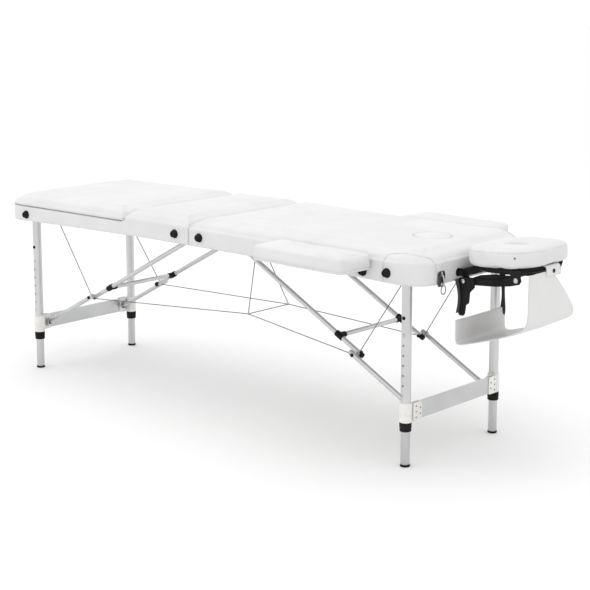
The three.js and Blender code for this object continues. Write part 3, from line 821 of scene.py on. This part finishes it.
def brace_pair(key, side, ends, upper_body, lower_body):
    """One side's upper and lower brace, with caps, bolts and the collar of the cross tube."""
    top, foot, along, knee = ends
    out = Vector((0, side * UPPER_BRACE_Y, 0))
    far_out = Vector((0, side * LOWER_BRACE_Y, 0))
    start, end = top + out - along * 0.0065, knee + out + along * 0.013
    upper = pipe(f"upper_tube_{key}", start, end, 7.7, 6.6, ALUMINIUM, upper_body)
    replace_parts(upper, f"upper_brace_{key}")
    start, end = foot + far_out + along * 0.0065, knee + far_out - along * 0.014
    lower = pipe(f"lower_tube_{key}", start, end, 7.7, 6.6, ALUMINIUM, lower_body)
    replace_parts(lower, f"lower_brace_{key}")
    upper_tip = knee + out + along * 0.013
    lower_tip = knee + far_out - along * 0.014
    foot_tip = foot + far_out + along * 0.0065
    for name, tip, inner, outer, profile, material, body in (
        ("upper_cap", upper_tip, -0.011, 0.0035, UPPER_CAP_PROFILE, BLACK, upper_body),
        ("lower_cap", lower_tip, 0.012, -0.0025, LOWER_CAP_PROFILE, STEEL, lower_body),
        ("foot_end_cap", foot_tip, -0.014, 0.001, FOOT_END_PROFILE, BLACK, lower_body),
    ):
        start, end = tip + along * inner, tip + along * outer
        turned(f"{name}_{key}", start, end, profile, material, body, 32)
    for name, centre, y0, y1, profile, material, body, slot in (
        ("knee_washer", knee, 0.1594, 0.170, WASHER_PROFILE, STEEL, lower_body, "steel"),
        ("knee_head", knee, 0.1905, 0.180, HEAD_PROFILE, BLACK, lower_body, "foot_black"),
        ("knee_nut", knee, 0.1385, 0.151, NUT_PROFILE, BLACK, upper_body, "foot_black"),
        ("foot_pin", foot, 0.1684, 0.179, PIN_PROFILE, STEEL, lower_body, "steel"),
        ("top_pin", top, 0.1405, 0.151, PIN_PROFILE, STEEL, upper_body, "steel"),
    ):
        start, end = centre + Vector((0, side * y0, 0)), centre + Vector((0, side * y1, 0))
        turned(f"{name}_{key}", start, end, profile, material, body, 28)
    middle = knee - along * CROSS_TUBE_FROM_KNEE + out
    start, end = middle - along * 0.015, middle + along * 0.015
    turned(f"brace_collar_{key}", start, end, BRACE_COLLAR_PROFILE, BLACK, upper_body, 36)
    start, end = middle - Vector((0, side * 0.0085, 0)), middle - Vector((0, side * 0.026, 0))
    turned(f"tube_socket_{key}", start, end, SOCKET_PROFILE, BLACK, upper_body, 32)


def brace_set(end_name, end):
    ends = knee_point(end)
    upper_body, lower_body = f"{end_name}_upper_braces", f"{end_name}_lower_braces"
    for label, side in SIDES:
        brace_pair(f"{end_name}_{label}", side, ends, upper_body, lower_body)
    _, _, along, knee = ends
    middle = knee - along * CROSS_TUBE_FROM_KNEE
    near, far = middle + Vector((0, -0.1425, 0)), middle + Vector((0, 0.1425, 0))
    cross = pipe(f"cross_tube_{end_name}", near, far, 7.4, 6.3, ALUMINIUM, upper_body)
    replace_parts(cross, f"brace_cross_tube_{end_name}")


for end_name, end in ENDS:
    brace_set(end_name, end)


# ---- Steel cable net ------------------------------------------------------------------------------
CABLE_RADIUS = 1.45
EYE_SCREW_PROFILE = [(2.2, 0), (2.2, 3), (5.2, 3.2), (5.6, 4.4), (4.6, 6), (0.5, 6.4)]
KNOT_PROFILE = [(1.5, 0), (3.4, 0.6), (4.0, 2), (4.0, 5), (3.4, 6.4), (1.5, 7)]
RISER_SCREW_PROFILE = [(2.6, 0), (2.6, 4), (6.8, 4.2), (7.2, 5.6), (5.8, 7.4), (0.5, 8)]


def strand(name, a, b, bodies):
    """A straight run of cable. With two bodies, it stays where it is built and is attached to neither; with
    one, it rides on that body.
    """
    path = [a.lerp(b, k / 28) for k in range(29)]
    piece = sweep(name, path, CABLE_RADIUS, CABLE, None, 10)
    if len(bodies) == 2:
        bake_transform(piece)
    else:
        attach(piece, bodies[0])
    return piece


def crimp(name, place, toward, body, length=11, radius=2.9):
    """A steel sleeve pressed on the cable."""
    along = (toward - place).normalized()
    profile = [
        (1.4, 0), (radius * 0.8, 0.4), (radius, 1.6),
        (radius, length - 1.6), (radius * 0.8, length - 0.4), (1.4, length),
    ]
    return turned(name, place, place + along * length / 1000, profile, STEEL, body, 18)


knots = {}
first_piece = None
for label, side in SIDES:
    knot = at(90, side * 98, 320)
    knots[label] = knot
    for end_name, end in ENDS:
        _, _, _, knee = knee_point(end)
        bolt = Vector((knee.x + end * 0.0031, side * 0.165, knee.z - 0.0063))
        anchor = at(790 if end > 0 else -812, side * 155, CABLE_TOP_Z)
        half, upper = f"{end_name}_half", f"{end_name}_upper_braces"
        key = f"{end_name}_{label}"
        piece = strand(f"cable_rise_{key}", anchor, bolt, (half, upper))
        first_piece = first_piece or piece
        if end > 0:
            strand(f"cable_run_{key}", bolt, knot, (upper, half))
        else:
            split = bolt.lerp(knot, 0.2)
            strand(f"cable_run_{key}", bolt, split, (upper, half))
            strand(f"cable_span_{key}", split, knot, (half, "head_half"))
        crimp(f"crimp_knee_{key}", bolt.lerp(anchor, 0.02), anchor, upper, 7, 2.5)
        crimp(f"crimp_top_{key}", anchor.lerp(bolt, 0.03), bolt, half)
        turns = [k * math.pi / 8 for k in range(16)]
        eye = [anchor + Vector((0, 0.0035 * math.sin(q), -0.0035 + 0.0042 * math.cos(q))) for q in turns]
        sweep(f"cable_eye_{key}", eye, 1.3, CABLE, half, 8, closed=True)
        high, low = anchor + Vector((0.004, 0, 0.0048)), anchor + Vector((0.004, 0, -0.006))
        turned(f"eye_screw_{key}", high, low, EYE_SCREW_PROFILE, STEEL, half, 24)
    riser_top = at(CENTRE_RISER_X, side * 3, CABLE_TOP_Z)
    strand(f"cable_riser_{label}", knot, riser_top, ("head_half",))
    crimp(f"crimp_riser_{label}", knot.lerp(riser_top, 0.03), riser_top, "head_half")
    low, high = knot + Vector((0, 0, -0.0035)), knot + Vector((0, 0, 0.0035))
    turned(f"knot_ring_{label}", low, high, KNOT_PROFILE, STEEL, "head_half", 24)
strand("cable_tie", knots["near"], knots["far"], ("head_half",))
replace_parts(first_piece, "steel_cable_net")
high, low = at(CENTRE_RISER_X, 0, 560.9), at(CENTRE_RISER_X, 0, 550)
turned("riser_screw", high, low, RISER_SCREW_PROFILE, STEEL, "head_half", 28)


# ---- Rubber bumpers and case latch ----------------------------------------------------------------
BUMPER_PROFILE = [
    (14.5, 0), (14.6, 1.2), (14.0, 2.8), (12.6, 5.5), (11.0, 9.5), (10.2, 11.8), (9.0, 12.9),
    (6.2, 13.2), (5.2, 12.6), (3.6, 11.4), (0.5, 11.2),
]
BUMPERS = (
    ("back_end", -823, 572, "back_half"), ("back_joint", -62, 592, "back_half"),
    ("head_joint", 50, 592, "head_half"), ("armrest", 722, 575, "head_half"),
    ("head_end", 810, 581, "head_half"),
)
for label, side in SIDES:
    for place, x, z, body in BUMPERS:
        start, end = at(x, side * 279.4, z), at(x, side * 300, z)
        turned(f"bumper_{place}_{label}", start, end, BUMPER_PROFILE, RUBBER, body, 44)


def on_corner(angle, outward, z):
    """A place on the rounded near corner of the head half, or that far outside it."""
    radius = 95 + outward
    turn = math.radians(angle)
    return at(835 + radius * math.sin(turn), -185 - radius * math.cos(turn), z)


LATCH_ANGLE = 92
LATCH_Z = 575


def latch_plate():
    rings = []
    for u, v, w in ((0, 0, 0), (0, 0, 1.0), (0.7, 0.7, 1.7), (9, 14, 1.7)):
        ring = []
        for k in range(40):
            q = 2 * math.pi * k / 40
            c, s = math.cos(q), math.sin(q)
            px = math.copysign(abs(c) ** 0.45, c) * max(19 - u, 0.5)
            pz = math.copysign(abs(s) ** 0.45, s) * max(18 - v, 0.5)
            angle = LATCH_ANGLE + math.degrees(px / 98)
            ring.append(on_corner(angle, 1.0 + w, LATCH_Z + pz))
        rings.append(ring)
    return crisp(to_object("latch_plate", skin(rings), DARK_STEEL_AND_HOLE_SHADE, "head_half"))


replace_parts(latch_plate(), "case_latch_plate")
rivet_profile = [(0.4, 0), (2.4, 0.4), (3.6, 1.6), (3.8, 2.8)]
for z in (LATCH_Z - 12, LATCH_Z + 13):
    start, end = on_corner(LATCH_ANGLE, 5.4, z), on_corner(LATCH_ANGLE, 0, z)
    turned(f"latch_rivet_{z}", start, end, rivet_profile, STEEL, "head_half", 24)
hook_rows = ((2.5, 8), (7, 6), (10.5, -4), (9.0, -12), (6.0, -14.5), (2.5, -13))
hook = smooth_path([on_corner(LATCH_ANGLE, out, LATCH_Z + up) for out, up in hook_rows], 8)
sweep("latch_hook", hook, 2.6, STEEL, "head_half", 12)
ring_centre = on_corner(LATCH_ANGLE, 8.0, LATCH_Z - 27)
tangent = Vector((math.cos(math.radians(LATCH_ANGLE)), math.sin(math.radians(LATCH_ANGLE)), 0))
ring_path = []
for k in range(48):
    turn = 2 * math.pi * k / 48
    up = Vector((0, 0, 0.0125 * math.sin(turn)))
    ring_path.append(ring_centre + tangent * 0.0115 * math.cos(turn) + up)
ring = sweep("latch_ring", ring_path, 1.5, DARK_STEEL_AND_HOLE_SHADE, "latch_loop", 12, closed=True)
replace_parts(ring, "case_latch_loop")


# ---- Face cradle ----------------------------------------------------------------------------------
tilt_angle = math.radians(-4)
cushion_centre = at(1067, 0, 632)


def tilted(x, y, z):
    """A place in the cushion's own tilted axes, in millimetres from its middle."""
    c, s = math.cos(tilt_angle), math.sin(tilt_angle)
    return cushion_centre + Vector((x * c + z * s, y, -x * s + z * c)) / 1000


RING_STEPS = 72


def squashed(q, power):
    """Cosine and sine of q, pushed outwards so that a circle becomes nearly a rectangle."""
    c, s = math.cos(q), math.sin(q)
    return math.copysign(abs(c) ** power, c), math.copysign(abs(s) ** power, s)


def ring_outline(inset):
    """Outer edge of the cushion, in millimetres from its middle."""
    points = []
    for k in range(RING_STEPS):
        c, s = squashed(2 * math.pi * k / RING_STEPS, 0.66)
        points.append((c * (121 - inset), s * (134 - inset)))
    return points


def hole_outline(grow):
    """Edge of the opening for the face."""
    turns = [2 * math.pi * k / RING_STEPS for k in range(RING_STEPS)]
    return [((31 + grow) * math.cos(turn) - 2, (20 + grow) * math.sin(turn)) for turn in turns]


def cushion():
    outside = [
        (13, -26), (6, -24), (2, -19), (0, -11), (0, 10), (1.5, 18), (5, 24), (12, 28), (24, 30), (44, 30.5),
    ]
    inside = [(20, 30), (9, 28.5), (3, 24), (0, 16), (0, -12), (3, -21), (9, -26)]
    rings = [[tilted(x, y, z) for x, y in ring_outline(inset)] for inset, z in outside]
    rings += [[tilted(x, y, z) for x, y in hole_outline(grow)] for grow, z in inside]
    piece = to_object("face_cushion", skin(rings, close_path=True), VINYL, "cradle_head")
    puff(piece, 0.0045, 2.5, 0.003, lambda p: False)
    guide = [tilted(x, y, 21) for x, y in ring_outline(0.5)]
    press_groove(piece, guide, 0.0016, 0.004)
    piece.data.update()
    seam = [piece_point(piece, p) for p in guide]
    sweep("face_cushion_welt", seam, 1.1, WELT, "cradle_head", 8, closed=True)
    ripple(piece, 0.0012, 0.05)
    dot = piece_point(piece, at(1150, -150, 644))
    outward = Vector((0.35, -0.9, 0.1)).normalized()
    start, end = dot + outward * 0.0012, dot - outward * 0.006
    profile = [(0.5, 0.5), (1.6, 0.4), (2.4, 0), (2.8, 0.8), (2.8, 4)]
    turned("cushion_eyelet", start, end, profile, DARK_STEEL_AND_HOLE_SHADE, "cradle_head", 24)
    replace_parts(piece, "cradle_cushion")


cushion()


def cradle_plate():
    """Ring under the cushion: outside rows, then the opening's rows from the top down."""
    section = ((-44.0, 7), (-40.0, 1.5), (-28.8, 0), (-27.6, 1.2))
    turns = [2 * math.pi * k / RING_STEPS for k in range(RING_STEPS)]
    rows = []
    for z, inset in section:
        row = []
        for turn in turns:
            c, s = squashed(turn, 0.8)
            row.append(tilted(c * (106 - inset), s * (110 - inset), z))
        rows.append(row)
    for z, grow in reversed(section):
        rows.append([tilted((65 + grow) * math.cos(t), (55 + grow) * math.sin(t), z) for t in turns])
    shell = skin(rows, close_path=True)
    piece = crisp(to_object("cradle_plate", shell, CRADLE, "cradle_head"), 40)
    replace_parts(piece, "cradle_ring")


cradle_plate()


def flat_bar(name, rows, y0, y1, material, body, edge=1.0):
    """A plate cut from a side view, with its edges broken."""
    points = [Vector((x, 0, z)) for x, z in rows]
    centre = sum(points, Vector()) / len(points)

    def ring(y, inset):
        out = []
        for i, p in enumerate(points):
            a, b = points[i - 1], points[(i + 1) % len(points)]
            along = (b - a).normalized()
            normal = Vector((-along.z, 0, along.x))
            if normal.dot(centre - p) < 0:
                normal = -normal
            out.append(at(p.x + normal.x * inset, y, p.z + normal.z * inset))
        return out

    rings = [ring(y0, edge), ring(y0 + edge, 0), ring(y1 - edge, 0), ring(y1, edge)]
    return crisp(to_object(name, skin(rings), material, body), 45)


def cradle_web(label, side):
    """Deep part of the tilting arm, inside the flat bar."""
    rows = [
        (972, 560), (1000, 572), (1050, 581), (1105, 584), (1122, 578), (1118, 566), (1060, 553),
        (1000, 546), (976, 546),
    ]
    a, b = sorted((side * 88, side * 95.6))
    flat_bar(f"cradle_web_{label}", rows, a, b, CRADLE, "cradle_arm_frame", 1.2)


def cradle_lug(label, side):
    """Lug of the ring on the tilting arm, with the two rivets of that side."""
    rows = [
        (1066, 600.5), (1108, 591), (1120, 583), (1122, 572), (1132, 567), (1142, 572), (1145, 586),
        (1150, 600), (1150, 606),
    ]
    a, b = sorted((side * 101.5, side * 105.8))
    flat_bar(f"cradle_lug_{label}", rows, a, b, CRADLE, "cradle_head", 0.5)
    start, end = at(1132, side * 110.5, 576), at(1132, side * 100, 576)
    profile = [(0.5, 0), (5.2, 0.5), (7.4, 2.0), (7.8, 4.4)]
    turned(f"front_rivet_{label}", start, end, profile, STEEL, "cradle_head", 32)
    start, end = at(954, side * 113.5, 551), at(954, side * 100, 551)
    profile = [(0.5, 0), (4.8, 0.5), (6.6, 2.0), (7.0, 12.0)]
    turned(f"rear_rivet_{label}", start, end, profile, STEEL, "cradle_base", 32)


for label, side in SIDES:
    cradle_web(label, side)
    cradle_lug(label, side)
lever_rows = [
    (938, 556), (942, 560), (988, 560), (993, 555), (991, 535), (976, 520), (973, 488),
    (963, 481), (959, 455), (954, 448.5), (942, 448.5), (938, 454), (937.5, 490), (937.5, 525),
]
lever = flat_bar("cam_lever_grip", lever_rows, -109.3, -101.4, CRADLE, "cam_lever", 1.6)
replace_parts(lever, "cradle_cam_lever")
socket_profile = [(6.8, 0), (11.5, 0.4), (12.5, 2), (12.5, 6), (10.5, 8.4), (6.8, 8.8)]
for label, side in SIDES:
    mouth = at(928.2, side * 99.84, 573)
    start, end = mouth - Vector((0.004, 0, 0)), mouth + Vector((0.009, 0, 0))
    turned(f"post_socket_{label}", start, end, socket_profile, BLACK, "head_half", 36)


# ---- Arm sling ------------------------------------------------------------------------------------
def sheet_shell(grid):
    """An open surface through rows of points."""
    shell = bmesh.new()
    rows = [[shell.verts.new(point) for point in row] for row in grid]
    for row, after in zip(rows, rows[1:]):
        for k in range(len(row) - 1):
            shell.faces.new((row[k], row[k + 1], after[k + 1], after[k]))
    return shell


def thicken(piece, thickness):
    thick = piece.modifiers.new("thick", "SOLIDIFY")
    thick.thickness = thickness
    thick.offset = 0
    apply_modifiers(piece)


def sling_sheet():
    """Vinyl that hangs behind the posts and rises to the cradle's front, where it narrows."""
    guide = [
        (942, 437), (942, 410), (942, 385), (946, 370), (962, 367), (1000, 377), (1050, 393), (1100, 410),
        (1150, 431), (1172, 445), (1182, 462), (1185, 490), (1183, 520), (1182, 555), (1181, 580),
        (1181, 598),
    ]
    line = smooth_path([Vector((x, 0, z)) for x, z in guide], 6)
    lengths = [0.0]
    for a, b in zip(line, line[1:]):
        lengths.append(lengths[-1] + (b - a).length)
    total = lengths[-1]
    across = 36
    grid = []
    for point, walked in zip(line, lengths):
        u = walked / total
        rise = max((u - 0.66) / 0.34, 0)
        near_edge = -126 + 12 * rise
        far_edge = 124 - 128 * rise ** 1.45
        row = []
        for k in range(across + 1):
            v = 2 * k / across - 1
            sag = -5.0 * (1 - v * v) * math.sin(math.pi * min(max((u - 0.12) / 0.55, 0), 1))
            bulge = 4.0 * (1 - v * v) * math.sin(math.pi * min(max((u - 0.7) / 0.3, 0), 1))
            wave = 1.6 * noise.noise(Vector((u * 7, v * 2.5, 0.3)))
            y = near_edge + (far_edge - near_edge) * k / across
            row.append(at(point.x + bulge + wave * 0.5, y, point.z + sag + wave))
        grid.append(row)
    shell = sheet_shell(grid)
    area = sum(face.calc_area() for face in shell.faces)
    piece = to_object("arm_sling_sheet", shell, SLING, None)
    thicken(piece, 0.0026)
    for face in piece.data.polygons:
        face.use_smooth = True
    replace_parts(piece, "arm_sling")
    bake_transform(piece)


sling_sheet()


def strap(label, side):
    """Black webbing from the bed's end down to the sling; the far one is narrowed by a twist."""
    rings = []
    for k in range(41):
        t = k / 40
        turn = math.radians(75 if side > 0 else 8) * math.sin(math.pi * t) * side
        x = 936 + 5.5 * t + 6 * math.sin(math.pi * t)
        z = 556 - (148 if side > 0 else 98) * t
        y = side * (112 - 2 * math.sin(math.pi * t))
        half = 12 - 7 * math.sin(math.pi * t) if side > 0 else 12
        c, s = math.cos(turn), math.sin(turn)
        rings.append([
            at(x + s * w - c * h, y + c * w + s * h, z)
            for w, h in ((-half, -0.8), (0, -0.9), (half, -0.8), (half, 0.8), (0, 0.9), (-half, 0.8))
        ])
    piece = crisp(to_object(f"sling_webbing_{label}", skin(rings), WEBBING, "cradle_base"), 50)
    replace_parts(piece, f"sling_strap_{label}")


for label, side in SIDES:
    strap(label, side)


# Flap of the sling that loops over the cradle's front edge, with its eyelet
def front_flap():
    rows = ((1184, 582), (1184.5, 596), (1183, 606), (1178, 611.5), (1168, 611))
    line = smooth_path([Vector((x, 0, z)) for x, z in rows], 6)
    grid = []
    for i, point in enumerate(line):
        taper = 1 - 0.12 * i / len(line)
        grid.append([at(point.x, 3 + taper * (6.2 * k - 37), point.z) for k in range(13)])
    thicken(to_object("sling_flap", sheet_shell(grid), SLING, "cradle_head"), 0.0024)
    start, end = at(1187.4, 3, 596), at(1180, 3, 596)
    profile = [(0.5, 0.6), (4.0, 0.5), (5.4, 0), (6.2, 0.8), (6.2, 2.2)]
    turned("flap_eyelet", start, end, profile, BLACK, "cradle_head", 28)


front_flap()


# ---- CAD nodes that stay: their own finish ----------------------------------------------------------
KEPT = {
    "head_half_frame": WOOD, "back_half_frame": WOOD, "backrest_board": WOOD,
    "centre_hinge_head": STEEL, "centre_hinge_back": STEEL,
    "leg_hinge_rod_head": STEEL, "leg_hinge_rod_back": STEEL,
    "cross_panel_head": PANEL, "cross_panel_back": PANEL,
    "backrest_prop_near": PANEL, "backrest_prop_far": PANEL,
    "armrest_bracket_near": PANEL, "armrest_bracket_far": PANEL,
    "cradle_posts": CRADLE, "cradle_arms": CRADLE,
}
for node, material in KEPT.items():
    mesh_object = frame["nodes"][node]
    for slot in mesh_object.material_slots:
        slot.material = material


# ---- The padded top bows a little towards both ends -------------------------------------------------
BOWED = ("head_pad", "back_pad", "backrest_cover", "lift_gap", "corner_welt", "face_plug", "armrest", "latch")


def bow(point):
    """Lowers a place near either end: the middle of the pad's height least, its lower edge most."""
    middle, top, bottom = (3, 4, 14) if point.x > MIDDLE else (4, 8, 16)
    along = min(abs(point.x - MIDDLE) / 0.93, 1) ** 1.5
    high = min(max((point.z - 0.612) / 0.034, 0), 1)
    low = min(max((0.600 - point.z) / 0.039, 0), 1)
    roll = max(1 - (point.x - MIDDLE + 0.93) / 0.11, 0)
    point.z -= along * (middle + (top - middle) * high + (bottom - middle) * low) / 1000
    corner = max((abs(point.y) - 0.16) / 0.12, 0)
    point.z -= (0.011 + 0.012 * corner) * roll * roll * high


for piece in bpy.data.objects:
    if piece.type == "MESH" and piece.name.startswith(BOWED) and piece.name not in frame["nodes"]:
        for vertex in piece.data.vertices:
            bow(vertex.co)
        piece.data.update()


# ---- Stage and light ------------------------------------------------------------------------------
def stage_floor():
    shell = bmesh.new()
    corners = [shell.verts.new((x, y, -0.0004)) for x, y in ((-30, -30), (30, -30), (30, 30), (-30, 30))]
    shell.faces.new(corners)
    floor = add_object("floor", shell)
    look = Look("pale_floor")
    speckle = look.texture(look.place(), "Noise", Scale=3.0, Detail=2.0)
    look.colour(speckle, (0.885, 0.885, 0.885), (0.89, 0.89, 0.89))
    look.value("Roughness", 0.9)
    look.value("Specular IOR Level", 0.1)
    floor.data.materials.append(look.material)


def area_light(name, location, target, size, power):
    data = bpy.data.lights.new(name, "AREA")
    data.shape = "DISK"
    data.size = size
    data.energy = power
    lamp = bpy.data.objects.new(name, data)
    lamp.location = location
    direction = Vector(target) - Vector(location)
    lamp.rotation_euler = direction.to_track_quat("-Z", "Y").to_euler()
    bpy.context.scene.collection.objects.link(lamp)


stage_floor()
area_light("overhead", (-0.5, -0.5, 4.2), (0, 0, 0.5), 4.5, 30)
area_light("left", (-3.6, -2.6, 2.4), (0, 0, 0.5), 2.5, 4)
world = bpy.data.worlds.new("studio")
world.use_nodes = True
world.node_tree.nodes["Background"].inputs["Color"].default_value = (1.0, 1.0, 1.0, 1.0)
world.node_tree.nodes["Background"].inputs["Strength"].default_value = 1.13
bpy.context.scene.world = world
bpy.context.scene.view_settings.view_transform = "Standard"
